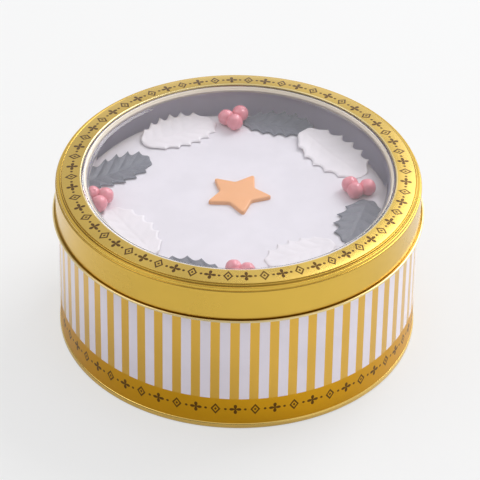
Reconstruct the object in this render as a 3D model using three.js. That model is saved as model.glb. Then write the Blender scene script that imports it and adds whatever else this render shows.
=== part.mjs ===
// A round gift tin with a slip-on lid, and the white iced Christmas cake inside it.
// The lid has a round clear window, and the cake carries a star, holly leaves and berries
// of sugar paste. Lengths are in millimetres, +Z is up, and the front of the tin faces -Y.
// The origin is the middle of the circle that the tin stands on.

import * as THREE from 'three';

// ---- Driving dimensions ----------------------------------------------------------

const TIN_RADIUS = 92; // outside of the printed wall
const TIN_HEIGHT = 91.5; // top of the lid, at the rolled edge round its window
const SHEET = 0.8; // thickness given to the tinplate and to the window
const GAP = 0.3; // between pieces that touch
const ROUND_SIDES = 64; // sides of every turned piece

const RIM_HEIGHT = 3.4; // rolled rim that the tin stands on
const RIM_OUT = 0.5; // how far that rim stands out from the wall
const FLOOR_HEIGHT = 2.4; // top of the floor panel

const WALL_TOP = 86.4; // the wall ends under the lid's shoulder

const LID_RADIUS = 93.2; // outside of the lid's skirt
const LID_CURL_HEIGHT = 70; // middle of the bead at the foot of the skirt
const LID_CURL = 0.6; // radius of that bead
const LID_CURL_OUT = 1.15; // its middle, out from the skirt
const WINDOW_HOLE = 79.9; // radius of the hole in the lid
const HEM = 0.75; // radius of the rolled edge round the hole
const RING_OUTER = 89.9; // where the ring ends and the stepped shoulder starts
const RING_FALL = 1.1; // how much lower the ring's outer edge lies than the hole's

const PANE_TOP = 87.7; // top of the flat pane, which lies deeper than the ring
const PANE_RADIUS = 74.5; // where the flat pane ends
const RIDGE_RADIUS = 79; // round crest of the plastic, just inside the hole
const RIDGE_TOP = 90.9;
const WINDOW_FLANGE = 84.5; // radius of the flange that lies under the ring

const CAKE_CENTRE = [-3.3, -1.6]; // the cake stands a little to one side in its tin
const CAKE_RADIUS = 82.2;
const CAKE_TOP = 74.8;
const CAKE_EDGE = 8; // rounding of the icing at the top edge
const CAKE_UNEVEN = 0.35; // how far the icing wanders at the side

const STAR_CENTRE = [-0.1, 3.4];
const STAR_TURN = THREE.MathUtils.degToRad(-9);
const STAR_REACH = 17; // from the middle to the sharp corner of a point's flat top
const STAR_WAIST = 9; // from the middle to the notch between two points, on top
const STAR_THICK = 2.2;

const BERRY_RADIUS = 4.15;
const LEAF_THICK = 0.9;

const GREEN_LEAF = { bite: 0.25, rib: 0.7, curl: 0.3, thick: LEAF_THICK };
const WHITE_LEAF = { bite: 0.2, rib: 0.4, curl: 0.35, thick: LEAF_THICK };

// Each group of toppings lies on the cake clockwise from the far side: berries, then a
// green leaf, then a white leaf. Places are in the tin's frame and turns in degrees. A
// leaf's outer side is the one away from the star: out and in give how far each side's
// edge lifts, and end how far the leaf's first end lifts. Spines lean forward by lean, and
// the outer side runs ahead of the inner one by slant.
const BERRY_CLUSTERS = [
  { name: 'far', at: [[-7, 67.2], [0.3, 71], [-2.6, 63]] },
  { name: 'right', at: [[57, 8.6], [59.6, 3.6], [65.9, 6.6]] },
  { name: 'front', at: [[-1.9, -63], [4.9, -65.1], [0.2, -69.6]] },
  { name: 'left', at: [[-74.2, -3], [-67.7, -4], [-70.6, -11]] },
];

const LEAVES = [
  { name: 'green_leaf_far', kind: 'green', at: [20.6, 65.2], turn: -11, hollows: 6,
    length: 37.6, width: 20, out: 2.8, in: 0.2, end: 0, lean: 0.6, slant: 0.9 },
  { name: 'green_leaf_right', kind: 'green', at: [61, -17.8], turn: -106, hollows: 5,
    length: 38, width: 24, out: 0.9, in: 0.3, end: 0, lean: 1.4, slant: -0.8 },
  { name: 'green_leaf_front', kind: 'green', at: [-23.3, -61.4], turn: 164, hollows: 5,
    length: 37, width: 20, out: 1.2, in: 1.4, end: 0, lean: 0.9, slant: 0 },
  { name: 'green_leaf_left', kind: 'green', at: [-62.8, 21.8], turn: 31.5, hollows: 6,
    length: 40, width: 22, out: 2.2, in: 0.2, end: 0, lean: 2.6, slant: 3.4 },
  { name: 'white_leaf_far', kind: 'white', at: [-31.8, 57.4], turn: 33, hollows: 7,
    length: 42.5, width: 27, out: 3.4, in: 0.4, end: 0.6, lean: 0.9, slant: -1.5 },
  { name: 'white_leaf_right', kind: 'white', at: [48.6, 39.4], turn: -50, hollows: 6,
    length: 48, width: 28, out: 2.6, in: 0.4, end: 2.6, lean: 0.9, slant: 0 },
  { name: 'white_leaf_front', kind: 'white', at: [31.3, -45.4], turn: -153, hollows: 6,
    length: 38, width: 24, out: 2.2, in: 0.4, end: 0.8, lean: 0.9, slant: 0 },
  { name: 'white_leaf_left', kind: 'white', at: [-53.6, -29.4], turn: 121, hollows: 6,
    length: 45, width: 26, out: 2.2, in: 0.4, end: 0.8, lean: 0.9, slant: 0 },
];

// ---- Finishes --------------------------------------------------------------------

function finish(colour, roughness, metalness = 0) {
  return new THREE.MeshStandardMaterial({ color: colour, roughness, metalness });
}

const GOLD_LACQUER = () => finish('#c9a04a', 0.32, 0.9);
const PRINTED_WALL = () => finish('#cdb27f', 0.35, 0.6);
const TIN_PLATE = () => finish('#b08a3c', 0.4, 0.9);
const ICING = () => finish('#e9e4ea', 0.6);
const STAR_PASTE = () => finish('#e9a564', 0.5);
const GREEN_PASTE = () => finish('#56625f', 0.55);
const WHITE_PASTE = () => finish('#ece8ec', 0.6);
const BERRY_PASTE = () => finish('#c95c68', 0.35);

function CLEAR_PLASTIC() {
  const clear = finish('#f4f4f6', 0.05);
  clear.transparent = true;
  clear.opacity = 0.2;
  return clear;
}

// ---- Outline helpers -------------------------------------------------------------

// Points along an arc in the section plane, where x is the radius and y the height.
// Angles are in degrees, anticlockwise from the outward direction.
function arc(centre, radius, from, to, steps, squash = 1) {
  const points = [];
  for (let i = 0; i <= steps; i += 1) {
    const angle = THREE.MathUtils.degToRad(from + ((to - from) * i) / steps);
    const x = centre[0] + radius * Math.cos(angle);
    const y = centre[1] + radius * squash * Math.sin(angle);
    points.push(new THREE.Vector2(x, y));
  }
  return points;
}

function at(radius, height) {
  return new THREE.Vector2(radius, height);
}

// Turns a section round the Z axis.
function turned(section, sides = ROUND_SIDES) {
  const geometry = new THREE.LatheGeometry(section, sides);
  geometry.rotateX(Math.PI / 2);
  return geometry;
}

function named(name, geometry, material) {
  const mesh = new THREE.Mesh(geometry, material);
  mesh.name = name;
  return mesh;
}

// ---- The tin ---------------------------------------------------------------------

// Floor panel and the rolled rim round it, in one pressing.
function tinBase() {
  const rimOuter = TIN_RADIUS + RIM_OUT;
  const rimInner = TIN_RADIUS - 3;
  const roll = 1;
  const underside = FLOOR_HEIGHT - SHEET;
  const section = [
    at(0, underside),
    at(rimInner - 1, underside),
    at(rimInner + 0.4, 0.5),
    at(rimInner + 1.4, 0),
    ...arc([rimOuter - roll, roll], roll, -90, 0, 2),
    ...arc([rimOuter - roll, RIM_HEIGHT - roll], roll, 0, 90, 2),
    at(rimInner + 0.9, RIM_HEIGHT),
    at(rimInner + 0.3, FLOOR_HEIGHT),
    at(0, FLOOR_HEIGHT),
  ];
  return named('tin_base', turned(section), TIN_PLATE());
}

// Upright wall, open above and below.
function tinWall() {
  const bottom = RIM_HEIGHT + GAP;
  const inner = TIN_RADIUS - SHEET;
  const section = [
    at(inner, bottom),
    at(TIN_RADIUS, bottom),
    at(TIN_RADIUS, WALL_TOP),
    at(inner, WALL_TOP),
    at(inner, bottom),
  ];
  return named('tin_wall', turned(section), PRINTED_WALL());
}

// The lid without its window: a ring that falls a little outwards, a stepped shoulder, a
// straight skirt, and a bead at its foot with a narrow groove behind it.
function lidRing() {
  const inner = LID_RADIUS - SHEET;
  const edge = TIN_HEIGHT - RING_FALL;
  const beadCentre = [LID_RADIUS + LID_CURL_OUT, LID_CURL_HEIGHT];
  const beadFoot = LID_CURL_HEIGHT - LID_CURL;
  const hemCentre = [WINDOW_HOLE + HEM, TIN_HEIGHT - HEM];
  const section = [
    at(LID_RADIUS, edge - 3.4),
    at(LID_RADIUS - 0.2, edge - 2.9),
    at(LID_RADIUS - 0.8, edge - 2.6),
    at(RING_OUTER + 2.4, edge - 1.3),
    at(RING_OUTER + 0.9, edge - 1.3),
    at(RING_OUTER + 0.8, edge - 0.6),
    at(RING_OUTER + 0.3, edge - 0.6),
    at(RING_OUTER, edge),
    ...arc(hemCentre, HEM, 90, 270, 4),
    at(WINDOW_HOLE + 2 * HEM, TIN_HEIGHT - HEM - 0.2),
    at(WINDOW_HOLE + 2 * HEM + 0.4, TIN_HEIGHT - SHEET - 0.3),
    at(RING_OUTER - 0.6, edge - SHEET),
    at(RING_OUTER + 0.2, edge - 2.1),
    at(RING_OUTER + 1.9, edge - 2.1),
    at(inner - 0.2, edge - 3.4),
    at(inner, edge - 3.9),
    at(inner, beadFoot),
    ...arc(beadCentre, LID_CURL, 270, 540, 6),
    at(LID_RADIUS + 0.5, LID_CURL_HEIGHT - 0.15),
    at(LID_RADIUS, LID_CURL_HEIGHT - 0.15),
    at(LID_RADIUS, edge - 3.4),
  ];
  return named('lid_ring', turned(section), GOLD_LACQUER());
}

// Clear pressed window: a flat pane that lies deeper than the ring, a hollow slope up to a
// crest just inside the hole, and a flange under the ring.
function lidWindow() {
  const flange = TIN_HEIGHT - 2 * HEM - GAP;
  const section = [
    at(0, PANE_TOP - SHEET),
    at(PANE_RADIUS + 0.1, PANE_TOP - SHEET),
    at(PANE_RADIUS + 1.9, PANE_TOP - SHEET + 0.35),
    at(PANE_RADIUS + 3.2, PANE_TOP - SHEET + 1.2),
    at(RIDGE_RADIUS - 0.7, flange - SHEET),
    at(WINDOW_FLANGE, flange - SHEET),
    at(WINDOW_FLANGE, flange),
    at(RIDGE_RADIUS + 0.3, flange),
    at(RIDGE_RADIUS + 0.2, RIDGE_TOP - 0.3),
    at(RIDGE_RADIUS, RIDGE_TOP),
    at(RIDGE_RADIUS - 0.2, RIDGE_TOP),
    at(PANE_RADIUS + 2.7, PANE_TOP + 0.9),
    at(PANE_RADIUS + 1.5, PANE_TOP + 0.3),
    at(PANE_RADIUS, PANE_TOP),
    at(0, PANE_TOP),
  ];
  return named('lid_window', turned(section), CLEAR_PLASTIC());
}

// ---- The cake --------------------------------------------------------------------

// Solid cake under smooth icing, a little uneven round its side.
function cake() {
  const bottom = FLOOR_HEIGHT + GAP;
  const footRound = 1.5;
  const section = [
    at(0, bottom),
    at(CAKE_RADIUS - footRound, bottom),
    at(CAKE_RADIUS, bottom + footRound),
    at(CAKE_RADIUS + 0.4, bottom + 20),
    ...arc([CAKE_RADIUS - CAKE_EDGE, CAKE_TOP - CAKE_EDGE], CAKE_EDGE, 0, 90, 5),
    at(0, CAKE_TOP),
  ];
  const geometry = turned(section);
  const place = geometry.getAttribute('position');
  for (let i = 0; i < place.count; i += 1) {
    const angle = Math.atan2(place.getY(i), place.getX(i));
    const radius = Math.hypot(place.getX(i), place.getY(i));
    const wander = Math.sin(2 * angle + 0.7) + 0.6 * Math.sin(5 * angle + 2.1);
    const stretch = 1 + (CAKE_UNEVEN * wander) / CAKE_RADIUS;
    place.setX(i, radius * stretch * Math.cos(angle));
    place.setY(i, radius * stretch * Math.sin(angle));
  }
  const mesh = named('cake', geometry, ICING());
  mesh.position.set(CAKE_CENTRE[0], CAKE_CENTRE[1], 0);
  return mesh;
}

// ---- Toppings --------------------------------------------------------------------

// Five-pointed star with softened points and edges.
function star() {
  const points = 5;
  const blunt = 0.8; // share of an arm that stays straight before its rounded end
  const corner = (radius, step) => {
    const angle = (Math.PI * step) / points;
    return new THREE.Vector2(radius * Math.cos(angle), radius * Math.sin(angle));
  };
  const outline = new THREE.Shape();
  for (let i = 0; i < points; i += 1) {
    const notch = corner(STAR_WAIST, 2 * i - 1);
    const tip = corner(STAR_REACH, 2 * i);
    const nextNotch = corner(STAR_WAIST, 2 * i + 1);
    const into = notch.clone().lerp(tip, blunt);
    const away = nextNotch.clone().lerp(tip, blunt);
    if (i === 0) {
      outline.moveTo(notch.x, notch.y);
    } else {
      outline.lineTo(notch.x, notch.y);
    }
    outline.lineTo(into.x, into.y);
    outline.quadraticCurveTo(tip.x, tip.y, away.x, away.y);
  }
  outline.closePath();
  const bevel = STAR_THICK * 0.3;
  const geometry = new THREE.ExtrudeGeometry(outline, {
    depth: STAR_THICK - 2 * bevel,
    curveSegments: 3,
    bevelThickness: bevel,
    bevelSize: bevel,
    bevelSegments: 2,
  });
  geometry.translate(0, 0, bevel);
  const mesh = named('star', geometry, STAR_PASTE());
  mesh.position.set(STAR_CENTRE[0], STAR_CENTRE[1], CAKE_TOP + GAP);
  mesh.rotation.z = STAR_TURN;
  return mesh;
}

// A thin closed solid from a flat grid. The upper and lower face share one pattern of
// triangles, and a strip closes them along the grid's outline.
function thinSolid(alongSteps, acrossSteps, thick, place) {
  const grid = new THREE.PlaneGeometry(1, 1, alongSteps, acrossSteps);
  const flat = grid.getAttribute('position');
  const count = flat.count;
  const positions = new Float32Array(count * 2 * 3);
  for (let i = 0; i < count; i += 1) {
    const [x, y, z] = place(flat.getX(i) + 0.5, 2 * flat.getY(i));
    positions.set([x, y, z + thick], 3 * i);
    positions.set([x, y, z], 3 * (count + i));
  }
  const faces = [];
  const upper = grid.getIndex().array;
  for (let i = 0; i < upper.length; i += 3) {
    const [a, b, c] = [upper[i], upper[i + 1], upper[i + 2]];
    faces.push(a, b, c, count + a, count + c, count + b);
  }
  const rim = outlineOf(alongSteps, acrossSteps);
  rim.forEach((a, i) => {
    const b = rim[(i + 1) % rim.length];
    faces.push(a, b, count + b, a, count + b, count + a);
  });
  const geometry = new THREE.BufferGeometry();
  geometry.setAttribute('position', new THREE.BufferAttribute(positions, 3));
  geometry.setIndex(faces);
  return geometry;
}

// Numbers of the grid points round a grid's outline, clockwise seen from above.
function outlineOf(alongSteps, acrossSteps) {
  const row = alongSteps + 1;
  const rim = [];
  for (let i = 0; i < alongSteps; i += 1) {
    rim.push(i);
  }
  for (let j = 0; j < acrossSteps; j += 1) {
    rim.push(alongSteps + j * row);
  }
  for (let i = alongSteps; i > 0; i -= 1) {
    rim.push(acrossSteps * row + i);
  }
  for (let j = acrossSteps; j > 0; j -= 1) {
    rim.push(j * row);
  }
  return rim;
}

// Holly leaf along X. Its edge runs in hollows between spines that lean forward, its
// halves rise from the middle rib, and the spines of the outer side curl up.
function hollyLeaf(size, style) {
  const stepsPerHollow = 3;
  const acrossSteps = 4;
  const stalk = 0.5; // half width at both ends
  const blunt = 0.45; // smaller ends more bluntly
  const alongSteps = stepsPerHollow * size.hollows;
  return thinSolid(alongSteps, acrossSteps, style.thick, (s, v) => {
    const hollow = Math.abs(Math.sin(Math.PI * size.hollows * s));
    const body = Math.sin(Math.PI * s) ** blunt;
    const half = stalk + (size.width / 2 - stalk) * body * (1 - style.bite * hollow);
    const edge = Math.abs(v);
    const side = v > 0 ? size.out : size.in;
    const forward = size.lean * edge * (1 - hollow) + size.slant * v;
    const x = size.length * (s - 0.5) + forward * body;
    const lift = side * edge ** 2 * (1 - style.curl * hollow);
    const rise = (style.rib * edge + lift) * body;
    const endLift = size.end * Math.max(0, 1 - 2 * s) ** 1.5;
    return [x, v * half, rise + endLift];
  });
}

function leaf(size) {
  const green = size.kind === 'green';
  const style = green ? GREEN_LEAF : WHITE_LEAF;
  const mesh = named(size.name, hollyLeaf(size, style), green ? GREEN_PASTE() : WHITE_PASTE());
  mesh.position.set(size.at[0], size.at[1], CAKE_TOP + GAP);
  mesh.rotation.z = THREE.MathUtils.degToRad(size.turn);
  return mesh;
}

// Moves what reaches past the plane halfway to a neighbour back onto that plane, so that
// two berries that are pressed together meet face to face.
function flattenTowards(geometry, neighbour) {
  const apart = neighbour.length();
  const reach = (apart - GAP) / 2;
  if (reach >= BERRY_RADIUS) {
    return;
  }
  const towards = neighbour.clone().divideScalar(apart);
  const place = geometry.getAttribute('position');
  const point = new THREE.Vector3();
  for (let i = 0; i < place.count; i += 1) {
    point.fromBufferAttribute(place, i);
    const beyond = point.dot(towards) - reach;
    if (beyond > 0) {
      point.addScaledVector(towards, -beyond);
      place.setXYZ(i, point.x, point.y, point.z);
    }
  }
}

// Berries of one cluster, pressed together on the icing.
function berryCluster(cluster) {
  const group = new THREE.Group();
  const height = CAKE_TOP + GAP + BERRY_RADIUS;
  const places = cluster.at.map(([x, y]) => new THREE.Vector3(x, y, height));
  places.forEach((place, i) => {
    const geometry = new THREE.SphereGeometry(BERRY_RADIUS, 12, 8);
    geometry.rotateX(Math.PI / 2);
    places.filter((other) => other !== place).forEach((other) => {
      flattenTowards(geometry, other.clone().sub(place));
    });
    const berry = named(`berry_${cluster.name}_${i + 1}`, geometry, BERRY_PASTE());
    berry.position.copy(place);
    group.add(berry);
  });
  return group;
}

// ---- The whole -------------------------------------------------------------------

const tin = new THREE.Group();
tin.add(tinBase(), tinWall(), lidRing(), lidWindow());
tin.add(cake(), star());
LEAVES.forEach((size) => tin.add(leaf(size)));
BERRY_CLUSTERS.forEach((cluster) => tin.add(berryCluster(cluster)));

export default tin;
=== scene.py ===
"""An iced Christmas cake in its round gift tin, seen through the window in the lid.

The packed solids are the frame, and every piece here replaces one of them. Lengths are in metres
and are written in millimetres through MM. The front of the tin faces -Y.
"""

import math

import bmesh
import bpy
from bpy.props import FloatProperty, FloatVectorProperty, IntProperty, PointerProperty
from mathutils import Matrix, Vector, noise


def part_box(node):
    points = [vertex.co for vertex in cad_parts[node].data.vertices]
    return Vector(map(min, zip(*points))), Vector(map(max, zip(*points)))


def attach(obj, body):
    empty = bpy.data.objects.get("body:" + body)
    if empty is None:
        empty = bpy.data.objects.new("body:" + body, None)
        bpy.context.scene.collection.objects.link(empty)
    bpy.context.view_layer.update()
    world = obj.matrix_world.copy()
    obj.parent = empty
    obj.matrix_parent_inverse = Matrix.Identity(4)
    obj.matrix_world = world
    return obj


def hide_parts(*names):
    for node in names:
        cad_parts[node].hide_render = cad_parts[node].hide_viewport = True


bl_info = {
    "name": "Iced Cake in a Gift Tin",
    "version": (1, 0, 0),
    "blender": (4, 5, 0),
    "location": "View3D > Sidebar > Cake Tin",
    "description": "Builds a striped gift tin with a window lid and the iced cake inside it",
    "category": "Object",
}

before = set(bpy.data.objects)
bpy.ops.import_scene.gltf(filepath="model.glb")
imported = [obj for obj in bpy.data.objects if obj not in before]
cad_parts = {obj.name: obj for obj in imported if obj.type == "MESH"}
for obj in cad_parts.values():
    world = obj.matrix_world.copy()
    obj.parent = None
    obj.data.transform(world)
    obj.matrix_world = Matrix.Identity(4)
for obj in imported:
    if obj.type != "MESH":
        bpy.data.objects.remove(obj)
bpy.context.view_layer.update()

MM = 0.001
BODY = "root"
ROUND_SIDES = 192  # steps of every full spin
SMOOTH_BELOW = math.radians(38)  # edges flatter than this are shaded smooth

# The two creases of the lid's stepped shoulder, outwards from the edge of the ring
FIRST_CREASE = 0.15 * MM
SECOND_CREASE = 0.95 * MM


# ---- Sizes and colours that a user would change -----------------------------------------------


def length(name, description, millimetres):
    """A length property whose default is given in millimetres."""
    return FloatProperty(
        name=name,
        description=description,
        default=millimetres * MM,
        unit="LENGTH",
        precision=5,
    )


def share(name, description, value):
    """A property from 0 to 1."""
    return FloatProperty(
        name=name, description=description, default=value, min=0.0, max=1.0, subtype="FACTOR"
    )


def turn(name, description, degrees):
    """An angle property whose default is given in degrees."""
    return FloatProperty(
        name=name, description=description, default=math.radians(degrees), subtype="ANGLE"
    )


def colour(name, description, value):
    """A colour property in linear light."""
    return FloatVectorProperty(
        name=name, description=description, default=value, size=3, min=0.0, max=1.0, subtype="COLOR"
    )


def top_of(node):
    """Height of a CAD node's highest point, in millimetres."""
    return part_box(node)[1].z / MM


def reach_of(node):
    """How far a CAD node reaches from the middle of the tin, in millimetres."""
    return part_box(node)[1].x / MM


class TinSizes(bpy.types.PropertyGroup):
    """The tin's body."""

    wall_radius: length("Wall radius", "Outside of the printed wall", reach_of("tin_wall"))
    wall_top: length("Wall top", "Upper end of the wall, under the lid", top_of("tin_wall"))
    sheet: length("Sheet", "Thickness of the tinplate", 0.4)
    rim_height: length("Rim height", "Height of the rolled standing rim", top_of("tin_base"))
    rim_reach: length("Rim reach", "Outside of the rolled standing rim", reach_of("tin_base"))
    floor_height: length("Floor height", "Top of the floor panel", 2.4)
    stripe_pairs: IntProperty(
        name="Stripe pairs", description="White and gold stripes round the wall", default=59
    )
    stripe_width: share("Stripe width", "Share of a pair that is white", 0.52)
    stripe_turn: turn("Stripe turn", "Where the middle of the first white stripe stands", -87.35)
    band_top: length("Band top", "Upper edge of the plain gold band", 19.0)
    border_height: length("Border height", "Middle of the printed border on the band", 12.4)
    border_motifs: IntProperty(
        name="Border motifs", description="Printed motifs round the band", default=58
    )


class LidSizes(bpy.types.PropertyGroup):
    """The lid and its window."""

    top: length("Top", "Height of the rolled edge round the window", top_of("lid_ring"))
    hole: length("Hole", "Radius of the hole for the window", 79.9)
    hem: length("Hem", "Radius of the rolled edge round the hole", 0.75)
    ring_edge: length("Ring edge", "Radius where the ring ends", 89.9)
    ring_fall: length("Ring fall", "How much lower the ring's outer edge lies", 1.1)
    skirt: length("Skirt", "Outside of the straight skirt", 93.2)
    bead_height: length("Bead height", "Middle of the bead at the foot", 70.0)
    bead: length("Bead", "Radius of the bead at the foot", 0.6)
    bead_out: length("Bead out", "Middle of the bead, out from the skirt", 1.15)
    border_radius: length("Border radius", "Middle of the printed border on the ring", 84.9)
    border_motifs: IntProperty(
        name="Border motifs", description="Printed motifs round the ring", default=60
    )
    pane_top: length("Pane top", "Height of the flat pane, which lies deeper than the ring", 87.7)
    pane_radius: length("Pane radius", "Where the flat pane ends", 74.5)
    ridge_radius: length("Ridge radius", "Crest of the plastic inside the hole", 79.0)
    ridge_top: length("Ridge top", "Height of that crest", top_of("lid_window"))
    flange_reach: length("Flange reach", "Radius of the window's flange", reach_of("lid_window"))
    window_sheet: length("Window sheet", "Thickness of the clear plastic", 0.4)


class CakeSizes(bpy.types.PropertyGroup):
    """The iced cake."""

    across: length("Place across", "Middle of the cake, to the right of the tin's", -3.3)
    away: length("Place away", "Middle of the cake, behind the tin's", -1.6)
    radius: length("Radius", "Outside of the icing", 82.2)
    foot: length("Foot", "Underside of the cake", 2.4)
    top: length("Top", "Top of the icing", top_of("cake"))
    edge: length("Edge", "Rounding of the icing at its top edge", 8.0)
    side_waves: length("Side waves", "How far the icing wanders at the side", 0.5)
    top_waves: length("Top waves", "How far the icing rises and falls on top", 0.12)


class ToppingSizes(bpy.types.PropertyGroup):
    """The sugar-paste toppings."""

    star_reach: length("Star reach", "From the middle of the star to a point", 18.0)
    star_waist: length("Star waist", "From the middle of the star to a notch", 9.5)
    star_thick: length("Star thickness", "Height of the star", 2.3)
    star_turn: turn("Star turn", "Direction of the star's first point", -9)
    leaf_thick: length("Leaf thickness", "Thickness of the paste leaves", 1.0)
    berry_radius: length("Berry radius", "Half the width of a berry", 4.3)
    pressed_in: length("Pressed in", "How deep the toppings sit in the icing", 0.2)


class FinishColours(bpy.types.PropertyGroup):
    """Colours of the finishes, in linear light."""

    gold: colour("Gold lacquer", "Lacquered lid", (0.74, 0.475, 0.06))
    # Painted sheen: the flat ring gets a paler copy of the lid's gold, for the paler light that it
    # reflects
    ring_sheen_gold: colour("Ring gold", "Paler lacquer of the lid's ring", (0.715, 0.485, 0.10))
    # Painted highlight: paler gold so that the rolled rim shines brighter
    rim_highlight_gold: colour("Rim gold", "Standing rim and underside", (0.86, 0.60, 0.15))
    # Painted highlight: paler gold that makes the rolled edge and the bead shine cream
    hem_highlight_gold: colour("Hem gold", "Rolled edge round the window, and the bead", (0.88, 0.72, 0.36))
    # Painted shade: dark colour laid where shade falls, in the lid's creases and on the side of the
    # hole
    crease_shade: colour("Crease", "Lacquer in the creases of the lid", (0.20, 0.10, 0.006))
    print_gold: colour("Printed gold", "Gold stripes on the wall", (0.74, 0.43, 0.035))
    # Partly the band's own print, partly painted shade for the shadowed floor that it reflects near
    # the foot
    band_gold_and_shade: colour("Band gold", "Gold band at the foot of the wall", (0.70, 0.36, 0.006))
    print_white: colour("Printed white", "White stripes on the wall", (0.93, 0.87, 0.98))
    ink: colour("Ink", "Printed border", (0.135, 0.062, 0.003))
    tin_inside: colour("Tin inside", "Bare inside of the tin", (0.89, 0.86, 1.0))
    window: colour("Window", "Clear plastic", (0.985, 0.985, 1.0))
    # Painted sheen: pale warm colour of the crest, for the bright light that the clear crest
    # reflects
    window_painted_sheen: colour("Window haze", "Milky crest of the clear plastic", (0.93, 0.84, 0.70))
    icing: colour("Icing", "Rolled icing", (0.78, 0.745, 0.785))
    star: colour("Star", "Star paste", (0.90, 0.42, 0.17))
    green: colour("Green", "Green leaf paste", (0.176, 0.180, 0.212))
    white: colour("White", "White leaf paste", (0.845, 0.80, 0.825))
    berry: colour("Berry", "Berry paste", (0.84, 0.28, 0.33))
    floor: colour("Floor", "Floor of the stage", (0.84, 0.84, 0.84))


# ---- Toppings: places in millimetres and turns in degrees ---------------------------------------

STAR_PLACE = (-0.1, 3.4)

# hollows are counted along a side; out and in are how far each side's edge lifts, end how far
# the first end lifts, lean how far the spines lean forward, and slant how far the outer side
# runs ahead of the inner one
LEAVES = (
    {"name": "green_leaf_far", "at": (20.6, 65.2), "turn": -11, "hollows": 6,
     "length": 37.6, "width": 20, "out": 2.8, "in": 0.2, "end": 0.0, "lean": 0.6, "slant": 0.9},
    {"name": "green_leaf_right", "at": (61.0, -17.8), "turn": -106, "hollows": 5,
     "length": 38, "width": 24, "out": 0.9, "in": 0.3, "end": 0.0, "lean": 1.4, "slant": -0.8},
    {"name": "green_leaf_front", "at": (-23.3, -61.4), "turn": 164, "hollows": 5,
     "length": 37, "width": 20, "out": 1.2, "in": 1.4, "end": 0.0, "lean": 0.9, "slant": 0.0},
    {"name": "green_leaf_left", "at": (-62.8, 21.8), "turn": 31.5, "hollows": 6,
     "length": 40, "width": 22, "out": 2.2, "in": 0.2, "end": 0.0, "lean": 2.6, "slant": 3.4},
    {"name": "white_leaf_far", "at": (-31.8, 57.4), "turn": 33, "hollows": 7,
     "length": 42.5, "width": 27, "out": 3.4, "in": 0.4, "end": 0.6, "lean": 0.9, "slant": -1.5},
    {"name": "white_leaf_right", "at": (48.6, 39.4), "turn": -50, "hollows": 6,
     "length": 48, "width": 28, "out": 2.6, "in": 0.4, "end": 2.6, "lean": 0.9, "slant": 0.0},
    {"name": "white_leaf_front", "at": (31.3, -45.4), "turn": -153, "hollows": 6,
     "length": 38, "width": 24, "out": 2.2, "in": 0.4, "end": 0.8, "lean": 0.9, "slant": 0.0},
    {"name": "white_leaf_left", "at": (-53.6, -29.4), "turn": 121, "hollows": 6,
     "length": 45, "width": 26, "out": 2.2, "in": 0.4, "end": 0.8, "lean": 0.9, "slant": 0.0},
)

BERRIES = {
    "berry_far": ((-7, 67.2), (0.3, 71), (-2.6, 63)),
    "berry_right": ((57.0, 8.6), (59.6, 3.6), (65.9, 6.6)),
    "berry_front": ((-1.9, -63.0), (4.9, -65.1), (0.2, -69.6)),
    "berry_left": ((-74.2, -3), (-67.7, -4), (-70.6, -11)),
}

# bite is how deep the hollows go, rib how far the halves rise from the middle rib, and curl how
# much the hollows stay down. press is the depth of the pressed veins and rim the width of the
# rounded edge, both in millimetres
LEAF_STYLES = {
    "green": {"bite": 0.26, "rib": 0.7, "curl": 0.3, "press": 0.8, "rim": 1.4},
    "white": {"bite": 0.2, "rib": 0.25, "curl": 0.35, "press": 0.2, "rim": 2.2},
}


# ---- Mesh helpers -----------------------------------------------------------------------------


def settings():
    """The sizes and colours of this scene."""
    return bpy.context.scene.cake_tin


def as_piece(name, shape, material, replaced):
    """Makes an object from a bmesh, smooth below SMOOTH_BELOW, and puts it in the frame."""
    mesh = bpy.data.meshes.new(name)
    shape.to_mesh(mesh)
    shape.free()
    for polygon in mesh.polygons:
        polygon.use_smooth = True
    mesh.set_sharp_from_angle(angle=SMOOTH_BELOW)
    for each in material if isinstance(material, (list, tuple)) else [material]:
        mesh.materials.append(each)
    piece = bpy.data.objects.new(name, mesh)
    bpy.context.scene.collection.objects.link(piece)
    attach(piece, BODY)
    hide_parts(*replaced)
    return piece


def round_off(shape, geom, rounding, segments, affect="EDGES"):
    """Rounds some edges, or vertices, of a bmesh."""
    bmesh.ops.bevel(
        shape, geom=geom, offset=rounding, offset_type="OFFSET", segments=segments,
        profile=0.5, affect=affect, clamp_overlap=True, material=-1,
    )


def on_icing(x, y):
    """Where the underside of a topping stands, from its place in millimetres."""
    return Vector((x * MM, y * MM, settings().cake.top - settings().toppings.pressed_in))


def section(corners, closed):
    """A bmesh holding a section in the XZ plane, from (radius, height, rounding) corners."""
    shape = bmesh.new()
    points = [shape.verts.new((radius, 0.0, height)) for radius, height, _ in corners]
    for first, second in zip(points, points[1:]):
        shape.edges.new((first, second))
    if closed:
        shape.edges.new((points[-1], points[0]))
    for point, (_, _, rounding) in zip(points, corners):
        if rounding > 0:
            round_off(shape, [point], rounding, 6, "VERTICES")
    return shape


def spun(shape):
    """Turns a section round the Z axis into a closed surface that faces outwards."""
    bmesh.ops.spin(
        shape,
        geom=shape.verts[:] + shape.edges[:],
        cent=(0, 0, 0),
        axis=(0, 0, 1),
        angle=2 * math.pi,
        steps=ROUND_SIDES,
        use_merge=True,
    )
    bmesh.ops.remove_doubles(shape, verts=shape.verts, dist=0.001 * MM)
    bmesh.ops.recalc_face_normals(shape, faces=shape.faces)
    return shape


# ---- Material helpers -------------------------------------------------------------------------


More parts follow.
